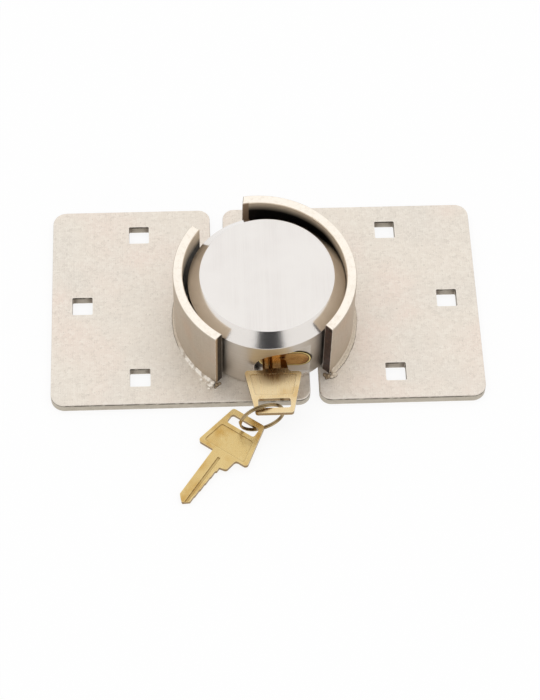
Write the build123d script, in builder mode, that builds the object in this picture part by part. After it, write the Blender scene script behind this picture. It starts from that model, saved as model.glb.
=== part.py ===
from build123d import *
import math
import os

os.makedirs("parts", exist_ok=True)

# A round hidden-shackle padlock on a two-piece welded van hasp, with its key and a spare.
# Millimetres. The origin is the middle of the bolt pattern, on the plates' undersides.
# X runs along the hasp, Y away from the key, Z out of the door.

# Hasp plates
plate_t = 4.8
plate_half_x = 101.0
plate_half_y = 54.3
plate_corner_r = 6.5
plate_edge_r = 0.6

# The Z-shaped joint between the two plates
far_joint_x = -22.0
far_joint_gap = 6.3
near_joint_x = 21.3
near_joint_gap = 4.2
step_gap = 1.8
joint_corner_r = 5.5
step_corner_r = 3.0

# Square holes for carriage bolts
bolt_hole = 9.6
bolt_hole_r = 0.7
bolt_inner_in = 41.4
bolt_outer_in = 14.4
bolt_side_in = 14.1

# Round lock body: its middle is this far in from the plates' front edge
body_r = 36.5
body_h = 37.4
body_in = 45.1
body_chamfer_w = 5.6
body_chamfer_h = 6.4
body_foot_chamfer = 0.8
body_edge_r = 0.5

# Curved shroud walls: each has its own centre, and comes within its gap of the lock body.
# A skew is how many degrees sooner the outer face stops than the inner one.
shroud_t = 4.4
shroud_h = 37.8
shroud_rim_r = 0.6
left_shroud_shift = (1.2, 1.0)
left_shroud_gap = 2.0
left_shroud_start = 142.0
left_shroud_end = 235.5
left_shroud_skew = 1.0
right_shroud_shift = (-3.5, -0.2)
right_shroud_gap = 0.3
right_shroud_start = -44.5
right_shroud_end = 99.3
right_shroud_skew = 1.7
weld_leg = 2.8
weld_inset = 1.5
weld_bulge = 0.62

# Axis shared by the key, the cylinder plug and the bolt
axis_x = 0.9
axis_up = 14.3

# Oval cylinder
face_in = 4.9
face_proud = 0.4
cylinder_h = 11.2
cylinder_w = 23.9
cylinder_fit = 0.05
face_pocket_r = 11.3
face_pocket_x = 4.3
plug_r = 4.8
plug_fit = 0.05
plug_tail = 2.8
tail_slot_w = 2.4
tail_slot_d = 1.2

# Pin stacks
pin_pitch = 3.9
pin_first = 4.0
pin_back_wall = 1.2
pin_r = 1.3
pin_point_w = 0.6
pin_point_len = 0.9
pin_fit = 0.05
pin_gap = 0.04
pin_end_x = 4.55
driver_start = 5.0
driver_len = 3.0
spring_r = 0.95
wire_r = 0.18
spring_turns = 7
chamber_end = 16.5
cover_t = 1.0
cover_w = 3.4

# Key
key_t = 2.2
bow_len = 22.6
bow_narrow = 17.2
bow_wide = 26.6
bow_shift = 0.7
bow_corner_r = 1.5
bow_rim = 1.9
bow_panel_d = 0.4
bow_panel_r = 1.0
ring_slot_w = 4.9
ring_slot_len = 14.9
ring_slot_inset = 2.7
ring_slot_r = 1.2
blade_back = 4.0
blade_front = 3.6
blade_past = 0.8
heel_corner_r = 0.4
neck_len = 6.4
stop_h = 6.9
stop_rise = 1.0
stop_slope = 0.7
neck_corner_r = 1.6
stop_valley = 0.8
cut_first = 3.0
cut_step = 0.25
cut_lead = 0.8
tip_corner_r = 0.5
toe_len = 3.0
toe_corner_r = 0.8
groove_w = 1.5
groove_d = 0.6
groove_start_x = 2.0
top_groove_at = -1.6
bottom_groove_at = 0.7
keyway_fit = 0.1

# Bolt and its drive
bolt_r = 6.0
bolt_fit = 0.05
bolt_len = 21.6
bolt_engage = 4.1
bolt_wall_end = 0.4
back_wall = 3.6
bolt_chamfer = 0.8
bolt_tip_gap = 0.3
drive_r = 3.6
drive_fit = 0.2
peg_r = 1.2
peg_back = 2.2
peg_fit = 0.2
peg_out = 7.3
peg_depth = 1.3
clip_t = 0.8
clip_r = 5.8
clip_groove = 0.7
flange_r = 4.2
flange_t = 1.0
gap = 0.2

# Staples that the bolt passes through
staple_t = 4.0
staple_r = 10.5
staple_eye_fit = 0.4
staple_clear = 0.8
tenon_w = 14.0
tenon_weld = 1.5

# Screw that holds the cylinder
screw_r = 2.5
screw_x = 9.5
screw_past = 0.3
screw_bite = 0.6
screw_sink = 0.6
screw_hex = 2.5
screw_fit = 0.05
screw_chamfer = 0.3

# Split ring and spare key
ring_r = 10.4
ring_wire_r = 0.45
ring_pitch = 0.92
ring_turns = 2
ring_left = 5.0
ring_back = 2.45
ring_down = 7.5
ring_turn = 15.6
spare_left = 8.57
spare_down = 7.95
spare_turn = 234.3

# Places worked out from the sizes above
axis_z = plate_t + axis_up
body_y = body_in - plate_half_y
face_y = body_y - body_r + face_in
drive_room = plug_tail + gap / 2 + flange_t + gap
bolt_travel = bolt_tip_gap + 2 * (staple_clear + staple_t) + step_gap + bolt_engage
bolt_room = bolt_len + bolt_travel + bolt_wall_end + back_wall
cylinder_depth = 2 * body_r - face_in - drive_room - bolt_room
cylinder_back_y = face_y + cylinder_depth
plug_back_y = cylinder_back_y + plug_tail
flange_y = plug_back_y + gap / 2
bolt_tail_y = flange_y + flange_t + gap
bolt_tip_y = bolt_tail_y + bolt_len
cavity_y = bolt_tip_y + bolt_tip_gap
near_staple_y = cavity_y + staple_clear
step_near_y = near_staple_y + staple_t
step_far_y = step_near_y + step_gap
far_staple_y = step_far_y
cavity_end_y = far_staple_y + staple_t + staple_clear
bore_end_y = bolt_tip_y + bolt_travel + bolt_wall_end
peg_y = bolt_tail_y + peg_back
body_top = plate_t + body_h
pin_count = int((cylinder_depth - pin_first - pin_r - pin_back_wall) / pin_pitch) + 1
pin_ys = [face_y + pin_first + pin_pitch * number for number in range(pin_count)]
cut_heights = [cut_first - cut_step * number for number in range(pin_count)]
shoulder_y = face_y - neck_len
blade_len = neck_len + cylinder_depth + blade_past
slot_back = bow_len - ring_slot_inset - ring_slot_w / 2


def finish(name, piece):
    """Label one piece and write it to its own file."""
    piece.part.label = name
    export_step(piece.part, f"parts/{name}.step")


def polar(centre, radius, angle):
    """A point on a circle, the angle in degrees."""
    turn = math.radians(angle)
    return (centre[0] + radius * math.cos(turn), centre[1] + radius * math.sin(turn))


# Left and right plates: each has a tab that reaches past the middle beside the other one
left_outline = [
    (-plate_half_x, -plate_half_y),
    (near_joint_x - near_joint_gap / 2, -plate_half_y),
    (near_joint_x - near_joint_gap / 2, step_near_y),
    (far_joint_x - far_joint_gap / 2, step_near_y),
    (far_joint_x - far_joint_gap / 2, plate_half_y),
    (-plate_half_x, plate_half_y),
]
right_outline = [
    (plate_half_x, plate_half_y),
    (far_joint_x + far_joint_gap / 2, plate_half_y),
    (far_joint_x + far_joint_gap / 2, step_far_y),
    (near_joint_x + near_joint_gap / 2, step_far_y),
    (near_joint_x + near_joint_gap / 2, -plate_half_y),
    (plate_half_x, -plate_half_y),
]
corner_radii = [
    plate_corner_r,
    joint_corner_r,
    step_corner_r,
    step_corner_r,
    joint_corner_r,
    plate_corner_r,
]


def hasp_plate(outline, side, notch_y):
    """One flat plate, with its bolt holes and the notch for its staple."""
    holes = [
        (side * (plate_half_x - bolt_inner_in), plate_half_y - bolt_side_in),
        (side * (plate_half_x - bolt_outer_in), 0),
        (side * (plate_half_x - bolt_inner_in), bolt_side_in - plate_half_y),
    ]
    with BuildPart() as plate:
        with BuildSketch():
            with BuildLine():
                FilletPolyline(*outline, radius=corner_radii, close=True)
            make_face()
        extrude(amount=plate_t)
        fillet(plate.edges().group_by(Axis.Z)[-1], plate_edge_r)
        with BuildSketch():
            with Locations(*holes):
                RectangleRounded(bolt_hole, bolt_hole, bolt_hole_r)
            with Locations((axis_x, notch_y + staple_t / 2)):
                Rectangle(tenon_w, staple_t)
        extrude(amount=plate_t, mode=Mode.SUBTRACT)
    return plate


def shroud_wall(centre, outer, start, end, skew):
    """A curved wall that stands on the plate and guards the lock's side."""
    inner = outer - shroud_t
    with BuildPart() as wall:
        with BuildSketch(Plane.XY.offset(plate_t)):
            with BuildLine():
                CenterArc(centre, outer, start, end - skew - start)
                CenterArc(centre, inner, start, end - start)
                Line(polar(centre, inner, start), polar(centre, outer, start))
                Line(polar(centre, inner, end), polar(centre, outer, end - skew))
            make_face()
        extrude(amount=shroud_h)
        fillet(wall.edges().group_by(Axis.Z)[-1], shroud_rim_r)
    return wall


def shroud_weld(centre, outer, start, end, skew):
    """The weld bead along the outer foot of a shroud wall."""
    inset = math.degrees(weld_inset / outer)
    first = math.radians(start + inset)
    sweep_angle = end - skew - start - 2 * inset
    section = Plane(
        origin=(*centre, plate_t),
        x_dir=(math.cos(first), math.sin(first), 0),
        z_dir=(math.sin(first), -math.cos(first), 0),
    )
    foot = (outer + weld_leg, 0)
    head = (outer, weld_leg)
    bulge = (outer + weld_bulge * weld_leg, weld_bulge * weld_leg)
    with BuildPart() as bead:
        with BuildSketch(section):
            with BuildLine():
                Polyline(head, (outer, 0), foot)
                ThreePointArc(foot, bulge, head)
            make_face()
        revolve(axis=Axis((*centre, 0), (0, 0, 1)), revolution_arc=sweep_angle)
    return bead


def staple(start_y):
    """An upright eye with a tenon that drops into the notch of its plate."""
    with BuildPart() as eye:
        with BuildSketch(Plane.XZ.offset(-start_y)):
            with Locations((axis_x, axis_z)):
                Circle(staple_r)
            with Locations((axis_x, (plate_t + axis_z) / 2)):
                Rectangle(2 * staple_r, axis_z - plate_t)
            with Locations((axis_x, (plate_t + tenon_weld) / 2)):
                Rectangle(tenon_w, plate_t - tenon_weld)
            with Locations((axis_x, axis_z)):
                Circle(bolt_r + staple_eye_fit, mode=Mode.SUBTRACT)
        extrude(amount=-staple_t)
    return eye


def staple_weld(start_y):
    """The weld that fills the notch under the tenon, flush with the plate."""
    with BuildPart() as pad:
        with BuildSketch():
            with Locations((axis_x, start_y + staple_t / 2)):
                Rectangle(tenon_w, staple_t)
        extrude(amount=tenon_weld)
    return pad


def shroud_arc(shift, shroud_gap, start, end, skew):
    """Centre, outer radius, end angles and skew of a shroud wall round the lock body."""
    centre = (shift[0], body_y + shift[1])
    outer = body_r + math.hypot(*shift) + shroud_gap + shroud_t
    return centre, outer, start, end, skew


left_arc = shroud_arc(
    left_shroud_shift, left_shroud_gap, left_shroud_start, left_shroud_end, left_shroud_skew
)
right_arc = shroud_arc(
    right_shroud_shift, right_shroud_gap, right_shroud_start, right_shroud_end, right_shroud_skew
)
halves = (
    ("left", left_outline, -1, near_staple_y, left_arc),
    ("right", right_outline, 1, far_staple_y, right_arc),
)
for side_name, outline, side, staple_y, arc in halves:
    finish(f"{side_name}_plate", hasp_plate(outline, side, staple_y))
    finish(f"{side_name}_shroud", shroud_wall(*arc))
    finish(f"{side_name}_shroud_weld", shroud_weld(*arc))
    finish(f"{side_name}_staple", staple(staple_y))
    finish(f"{side_name}_staple_weld", staple_weld(staple_y))

# Planes across the key axis: local x is X, local y is Z, and they look away from the key
across = Plane(origin=(axis_x, 0, axis_z), x_dir=(1, 0, 0), z_dir=(0, -1, 0))


def across_at(y):
    """The plane square to the key axis at one Y."""
    return across.offset(-y)


oval_middle = (cylinder_w - cylinder_h) / 2
screw_y = face_y + cylinder_depth / 2 + screw_past
pocket_floor_y = face_y + face_proud
keyway_r = peg_out + peg_fit

# Lock body: a turned disc, bored for the cylinder and the bolt and hollowed for the staples
with BuildPart() as lock_body:
    with BuildSketch(Plane.XZ):
        with BuildLine():
            Polyline(
                (0, plate_t),
                (body_r - body_foot_chamfer, plate_t),
                (body_r, plate_t + body_foot_chamfer),
                (body_r, body_top - body_chamfer_h),
                (body_r - body_chamfer_w, body_top),
                (0, body_top),
                close=True,
            )
        make_face()
    revolve(axis=Axis.Z)
    rims = lock_body.edges().filter_by(GeomType.CIRCLE).group_by(Axis.Z)
    fillet(rims[-1] + rims[-2], body_edge_r)
    with BuildSketch(across_at(pocket_floor_y - body_y)):
        with Locations((face_pocket_x - axis_x, 0)):
            Circle(face_pocket_r)
        with Locations((face_pocket_x - axis_x + body_r / 2, 0)):
            Rectangle(body_r, 2 * face_pocket_r)
    extrude(amount=body_r, mode=Mode.SUBTRACT)
    with BuildSketch(across_at(cylinder_back_y - body_y)):
        with Locations((oval_middle, 0)):
            SlotOverall(cylinder_w + 2 * cylinder_fit, cylinder_h + 2 * cylinder_fit)
    extrude(amount=body_r, mode=Mode.SUBTRACT)
    with BuildSketch(across_at(bore_end_y - body_y)):
        Circle(bolt_r + bolt_fit)
    extrude(amount=bore_end_y - cylinder_back_y, mode=Mode.SUBTRACT)
    with BuildSketch(across_at(peg_y + bolt_travel + peg_r + peg_fit - body_y)):
        with Locations((0, keyway_r / 2)):
            Rectangle(2 * (peg_r + peg_fit), keyway_r)
    extrude(amount=peg_y + bolt_travel + peg_r + peg_fit - cylinder_back_y, mode=Mode.SUBTRACT)
    with BuildSketch(Plane.XY.offset(plate_t)):
        with Locations((axis_x, (cavity_y + cavity_end_y) / 2 - body_y)):
            Rectangle(2 * (staple_r + staple_clear), cavity_end_y - cavity_y)
    extrude(amount=axis_up + staple_r + staple_clear, mode=Mode.SUBTRACT)
    with BuildSketch(Plane.XY.offset(plate_t)):
        with Locations((axis_x + screw_x, screw_y - body_y)):
            Circle(screw_r + screw_fit)
    extrude(amount=axis_up - cylinder_h / 2, mode=Mode.SUBTRACT)
lock_body.part = lock_body.part.translate((0, body_y, 0))
finish("lock_body", lock_body)

# Cylinder housing: an oval brass block with the plug's bore and a row of pin chambers
with BuildPart() as cylinder_housing:
    with BuildSketch(across_at(cylinder_back_y)):
        with Locations((oval_middle, 0)):
            SlotOverall(cylinder_w, cylinder_h)
        Circle(plug_r + plug_fit, mode=Mode.SUBTRACT)
    extrude(amount=cylinder_depth)
    with BuildSketch(Plane(origin=(axis_x, 0, axis_z), x_dir=(0, 1, 0), z_dir=(1, 0, 0))):
        with Locations(*[(y, 0) for y in pin_ys]):
            Circle(pin_r + pin_fit)
    extrude(amount=chamber_end, mode=Mode.SUBTRACT)
    with BuildSketch(
        Plane(origin=(axis_x + chamber_end, 0, axis_z), x_dir=(0, 1, 0), z_dir=(1, 0, 0))
    ):
        with Locations(((pin_ys[0] + pin_ys[-1]) / 2, 0)):
            Rectangle(pin_ys[-1] - pin_ys[0] + pin_pitch, cover_w)
    extrude(amount=cylinder_w, mode=Mode.SUBTRACT)
    with BuildSketch(Plane.XY.offset(axis_z - cylinder_h / 2)):
        with Locations((axis_x + screw_x, screw_y)):
            Circle(screw_r + screw_fit)
    extrude(amount=screw_bite + screw_fit, mode=Mode.SUBTRACT)
finish("cylinder_housing", cylinder_housing)

# Strip that closes the pin chambers
with BuildPart() as chamber_cover:
    with BuildSketch(
        Plane(origin=(axis_x + chamber_end, 0, axis_z), x_dir=(0, 1, 0), z_dir=(1, 0, 0))
    ):
        with Locations(((pin_ys[0] + pin_ys[-1]) / 2, 0)):
            Rectangle(pin_ys[-1] - pin_ys[0] + pin_pitch, cover_w)
    extrude(amount=cover_t)
finish("chamber_cover", chamber_cover)

# Grub screw that holds the housing in the lock body
with BuildPart() as cylinder_screw:
    with BuildSketch(Plane.XY.offset(plate_t + screw_sink)):
        with Locations((axis_x + screw_x, screw_y)):
            Circle(screw_r)
    extrude(amount=axis_up - cylinder_h / 2 - screw_sink + screw_bite)
    chamfer(cylinder_screw.edges().filter_by(GeomType.CIRCLE), screw_chamfer)
    with BuildSketch(Plane.XY.offset(plate_t + screw_sink)):
        with Locations((axis_x + screw_x, screw_y)):
            RegularPolygon(screw_hex / 2, 6, major_radius=False)
    extrude(amount=screw_hex, mode=Mode.SUBTRACT)
finish("cylinder_screw", cylinder_screw)

# Plug: turns in the housing, slotted for the key in front and for the drive behind
rib_h = groove_d - keyway_fit
rib_w = groove_w - 2 * keyway_fit
keyway_end_y = shoulder_y + blade_len + gap
with BuildPart() as cylinder_plug:
    with BuildSketch(across_at(plug_back_y)):
        Circle(plug_r)
    extrude(amount=plug_back_y - face_y)
    with BuildSketch(across_at(keyway_end_y)):
        with Locations(((blade_front - blade_back) / 2, 0)):
            Rectangle(blade_front + blade_back + 2 * keyway_fit, key_t + 2 * keyway_fit)
        with Locations((top_groove_at, key_t / 2 - rib_h / 2 + keyway_fit)):
            Rectangle(rib_w, rib_h, mode=Mode.SUBTRACT)
        with Locations((bottom_groove_at, -key_t / 2 + rib_h / 2 - keyway_fit)):
            Rectangle(rib_w, rib_h, mode=Mode.SUBTRACT)
    extrude(amount=keyway_end_y - face_y, mode=Mode.SUBTRACT)
    with BuildSketch(Plane(origin=(axis_x, 0, axis_z), x_dir=(0, 1, 0), z_dir=(1, 0, 0))):
        with Locations(*[(y, 0) for y in pin_ys]):
            Circle(pin_r + pin_fit)
    extrude(amount=plug_r, mode=Mode.SUBTRACT)
    with BuildSketch(across_at(plug_back_y)):
        Rectangle(2 * plug_r, tail_slot_w)
    extrude(amount=tail_slot_d, mode=Mode.SUBTRACT)
    with BuildSketch(across_at(cylinder_back_y + clip_t + gap)):
        Circle(plug_r + gap)
        Circle(plug_r - clip_groove, mode=Mode.SUBTRACT)
    extrude(amount=clip_t + gap / 2, mode=Mode.SUBTRACT)
finish("cylinder_plug", cylinder_plug)

# Snap ring on the plug's tail, open on one side
with BuildPart() as plug_clip:
    with BuildSketch(across_at(cylinder_back_y + clip_t + gap / 2)):
        Circle(clip_r)
        Circle(plug_r - clip_groove, mode=Mode.SUBTRACT)
        with Locations((0, clip_r)):
            Rectangle(plug_r, 2 * clip_r - plug_r / 2, mode=Mode.SUBTRACT)
    extrude(amount=clip_t)
finish("plug_clip", plug_clip)

# Drive screw: a rod with a long helical groove that half a turn of the key turns
groove_r = peg_r + peg_fit
drive_tip_y = peg_y + bolt_travel + groove_r
groove_path_r = drive_r + peg_r - peg_depth
with BuildPart() as drive_screw:
    with BuildSketch(across_at(drive_tip_y)):
        Circle(drive_r)
    extrude(amount=drive_tip_y - flange_y)
    with BuildSketch(across_at(flange_y + flange_t)):
        Circle(flange_r)
    extrude(amount=flange_t)
    with BuildSketch(across_at(flange_y)):
        Rectangle(2 * drive_r, tail_slot_w - gap)
    extrude(amount=tail_slot_d)
    with BuildLine() as groove_path:
        Helix(
            pitch=2 * bolt_travel,
            height=bolt_travel,
            radius=groove_path_r,
            center=(axis_x, peg_y, axis_z),
            direction=(0, 1, 0),
            lefthand=True,
        )
    groove_start = Plane(
        origin=groove_path.line @ 0,
        z_dir=groove_path.line % 0,
    )
    with BuildSketch(groove_start):
        Circle(groove_r)
    sweep(path=groove_path.line, is_frenet=True, mode=Mode.SUBTRACT)
    with Locations(groove_path.line @ 0, groove_path.line @ 1):
        Sphere(groove_r, mode=Mode.SUBTRACT)
finish("drive_screw", drive_screw)

# Bolt: a hollow pin that the drive screw pushes along, shown drawn back
with BuildPart() as lock_bolt:
    with BuildSketch(across_at(bolt_tip_y)):
        Circle(bolt_r)
    extrude(amount=bolt_len)
    chamfer(lock_bolt.edges().filter_by(GeomType.CIRCLE).sort_by(Axis.Y)[-1], bolt_chamfer)
    with BuildSketch(across_at(drive_tip_y + gap)):
        Circle(drive_r + drive_fit)
    extrude(amount=drive_tip_y + gap - bolt_tail_y, mode=Mode.SUBTRACT)
    with BuildSketch(Plane.XY.offset(axis_z)):
        with Locations((axis_x, peg_y)):
            Circle(peg_r)
    extrude(amount=2 * bolt_r, mode=Mode.SUBTRACT)
finish("lock_bolt", lock_bolt)

# Follower peg: its round tip runs in the drive screw, its foot in the body's keyway
with BuildPart() as bolt_peg:
    with Locations((axis_x, peg_y, axis_z + groove_path_r)):
        Sphere(peg_r)
    with BuildSketch(Plane.XY.offset(axis_z + groove_path_r)):
        with Locations((axis_x, peg_y)):
            Circle(peg_r)
    extrude(amount=peg_out - groove_path_r)
finish("bolt_peg", bolt_peg)

# Pin stacks: key pins in the plug, then driver pins and springs in the housing
pin_row = Plane(origin=(axis_x, 0, axis_z), x_dir=(0, 1, 0), z_dir=(1, 0, 0))
driver_end = driver_start + driver_len
for number, (pin_y, cut) in enumerate(zip(pin_ys, cut_heights), start=1):
    with BuildPart() as key_pin:
        with BuildSketch(pin_row.offset(cut + pin_gap)):
            with Locations((pin_y, 0)):
                Circle(pin_r)
        extrude(amount=pin_end_x - cut - pin_gap)
        chamfer(key_pin.edges().filter_by(GeomType.CIRCLE).sort_by(Axis.X)[0], pin_point_w, pin_point_len)
    finish(f"key_pin_{number}", key_pin)
    with BuildPart() as driver_pin:
        with BuildSketch(pin_row.offset(driver_start)):
            with Locations((pin_y, 0)):
                Circle(pin_r)
        extrude(amount=driver_len)
    finish(f"driver_pin_{number}", driver_pin)
    with BuildPart() as pin_spring:
        with BuildLine() as coil:
            Helix(
                pitch=(chamber_end - driver_end - 2 * wire_r) / spring_turns,
                height=chamber_end - driver_end - 2 * wire_r,
                radius=spring_r,
                center=(axis_x + driver_end + wire_r, pin_y, axis_z),
                direction=(1, 0, 0),
            )
        with BuildSketch(Plane(origin=coil.line @ 0, z_dir=coil.line % 0)):
            Circle(wire_r)
        sweep(path=coil.line, is_frenet=True)
    finish(f"pin_spring_{number}", pin_spring)

# Key outline: local x runs along the blade from the bow's shoulder, local y to the cut side
blade_outline = []
for pin_y, cut in zip(pin_ys, cut_heights):
    from_shoulder = pin_y - shoulder_y
    blade_outline.append((from_shoulder - pin_r - gap, cut))
    blade_outline.append((from_shoulder + pin_r + gap, cut))
tip_h = (cut_heights[-1] - blade_back) / 2
key_outline = [
    (0, -blade_back),
    (0, bow_shift - bow_wide / 2),
    (-bow_len, bow_shift - bow_narrow / 2),
    (-bow_len, bow_shift + bow_narrow / 2),
    (-stop_valley, bow_shift + bow_wide / 2),
    (-stop_valley, stop_h + stop_rise),
    (neck_len - gap - stop_slope, stop_h),
    (neck_len - gap, blade_front),
    (blade_outline[0][0] - cut_lead, blade_front),
    *blade_outline,
    (blade_len, tip_h),
    (blade_len - toe_len, -blade_back),
]
key_radii = [
    heel_corner_r,
    bow_corner_r,
    bow_corner_r,
    bow_corner_r,
    bow_corner_r,
    neck_corner_r,
    neck_corner_r,
    *([0] * (len(blade_outline) + 2)),
    tip_corner_r,
    toe_corner_r,
]
bow_flare = (bow_wide - bow_narrow) / 2 / bow_len
panel_start = ring_slot_inset + ring_slot_w + bow_rim - bow_len
panel_outline = [
    (panel_start, bow_shift + side * (bow_wide / 2 + panel_start * bow_flare - bow_rim))
    for side in (1, -1)
] + [
    (-bow_rim, bow_shift + side * (bow_wide / 2 - bow_rim * (1 + bow_flare)))
    for side in (-1, 1)
]


def cut_key(middle):
    """A cut key on the plane through the middle of its thickness."""
    with BuildPart() as key:
        with BuildSketch(middle):
            with BuildLine():
                FilletPolyline(*key_outline, radius=key_radii, close=True)
            make_face()
            with Locations((-slot_back, bow_shift)):
                RectangleRounded(ring_slot_w, ring_slot_len, ring_slot_r, mode=Mode.SUBTRACT)
        extrude(amount=key_t / 2, both=True)
        for face, groove_at in ((1, bottom_groove_at), (-1, top_groove_at)):
            with BuildSketch(middle.offset(face * key_t / 2)):
                with BuildLine():
                    FilletPolyline(*panel_outline, radius=bow_panel_r, close=True)
                make_face()
            extrude(amount=-face * bow_panel_d, mode=Mode.SUBTRACT)
            with BuildSketch(middle.offset(face * key_t / 2)):
                with Locations((groove_start_x + blade_len / 2, groove_at)):
                    Rectangle(blade_len, groove_w)
            extrude(amount=-face * groove_d, mode=Mode.SUBTRACT)
    return key


key_plane = Plane(origin=(axis_x, shoulder_y, axis_z), x_dir=(0, 1, 0), z_dir=(0, 0, -1))
finish("lock_key", cut_key(key_plane))

# Split ring: it hangs round the outer bar of the bow's slot
slot_y = shoulder_y - slot_back
ring_centre = Vector(axis_x - ring_left, slot_y - ring_back, axis_z - ring_down)
ring_normal = Vector(1, 0, 0).rotate(Axis.Z, ring_turn - 90)

# Spare key: its slot hangs on the split ring, and its tip rests on the table
spare_slot = Vector(ring_centre.X - spare_left, ring_centre.Y, ring_centre.Z - spare_down)
tilt = math.asin((spare_slot.Z - key_t / 2) / (blade_len + slot_back))
turn = math.radians(spare_turn)
spare_dir = (
    math.cos(turn) * math.cos(tilt),
    math.sin(turn) * math.cos(tilt),
    -math.sin(tilt),
)
spare_up = (
    math.cos(turn) * math.sin(tilt),
    math.sin(turn) * math.sin(tilt),
    math.cos(tilt),
)
slot_plane = Plane(origin=spare_slot, x_dir=spare_dir, z_dir=spare_up)
spare_shoulder = slot_plane.from_local_coords((slot_back, -bow_shift, 0))
spare_plane = Plane(origin=spare_shoulder, x_dir=spare_dir, z_dir=spare_up)
finish("spare_key", cut_key(spare_plane))

# Two close turns of wire
with BuildPart() as split_ring:
    with BuildLine() as turns:
        Helix(
            pitch=ring_pitch,
            height=ring_pitch * ring_turns,
            radius=ring_r,
            center=ring_centre - ring_normal * (ring_pitch * ring_turns / 2),
            direction=ring_normal,
        )
    with BuildSketch(Plane(origin=turns.line @ 0, z_dir=turns.line % 0)):
        Circle(ring_wire_r)
    sweep(path=turns.line, is_frenet=True)
finish("split_ring", split_ring)

print("bolt travel", round(bolt_travel, 3), "bore end", round(bore_end_y, 2))
print("cavity", round(cavity_y, 2), round(cavity_end_y, 2), "axis", round(axis_z, 2))
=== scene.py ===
"""Studio scene of a round van padlock in its two-part steel hasp, with a key in it and a spare.

Everything is in metres and in the frame of the model: X along the hasp, Y away from the keys, Z up.
"""

import logging
import math
from dataclasses import dataclass
from enum import Enum
from typing import Union

import bmesh
import bpy
from mathutils import Matrix, Vector, noise


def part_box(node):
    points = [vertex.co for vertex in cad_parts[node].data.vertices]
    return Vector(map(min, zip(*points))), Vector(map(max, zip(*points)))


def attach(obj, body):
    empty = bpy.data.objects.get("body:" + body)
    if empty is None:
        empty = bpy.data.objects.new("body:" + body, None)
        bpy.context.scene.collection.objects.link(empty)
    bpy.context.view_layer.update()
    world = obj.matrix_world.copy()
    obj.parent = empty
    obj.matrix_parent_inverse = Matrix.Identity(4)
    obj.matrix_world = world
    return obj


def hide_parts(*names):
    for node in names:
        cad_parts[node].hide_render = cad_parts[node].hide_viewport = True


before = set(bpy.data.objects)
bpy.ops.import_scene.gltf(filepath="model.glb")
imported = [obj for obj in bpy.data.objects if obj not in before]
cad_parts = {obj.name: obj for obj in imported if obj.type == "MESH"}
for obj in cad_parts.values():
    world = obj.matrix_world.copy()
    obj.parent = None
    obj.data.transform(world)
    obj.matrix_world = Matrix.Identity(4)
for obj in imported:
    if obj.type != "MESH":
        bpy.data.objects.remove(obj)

LOG = logging.getLogger("van_hasp")
MM = 0.001
UP = (0.0, 0.0, 1.0)
LEVEL = (1.0, 1.0, 0.0)

Colour = tuple[float, float, float]
Point = tuple[float, float, float]
Pair = tuple[float, float]
Blob = tuple[float, float, float, float]
Socket = bpy.types.NodeSocket
Feed = Union[Socket, float, tuple]
Sockets = bpy.types.bpy_prop_collection


def rgb(*shown: int) -> Colour:
    """Turn a colour of 0 to 255, as a screen shows it, into the linear one that shaders use.

    Args:
        shown: The red, green and blue parts.

    Returns:
        The linear colour, by the curve of sRGB.
    """
    linear = []
    for part in shown:
        level = part / 255
        linear.append(level / 12.92 if level <= 0.04045 else ((level + 0.055) / 1.055) ** 2.4)
    return tuple(linear)


class Effect(Enum):
    """The shared shader effects, by the name of their node group."""

    GRAIN = "crystal grain"
    STREAKS = "long streaks"
    STAINS = "soft stains"
    EDGES = "rubbed edges"
    FACING = "facing"
    AROUND = "around a post"
    # painted shade in inner corners
    CREASE_SHADE = "dark creases"
    OVAL = "outside an oval"


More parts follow.
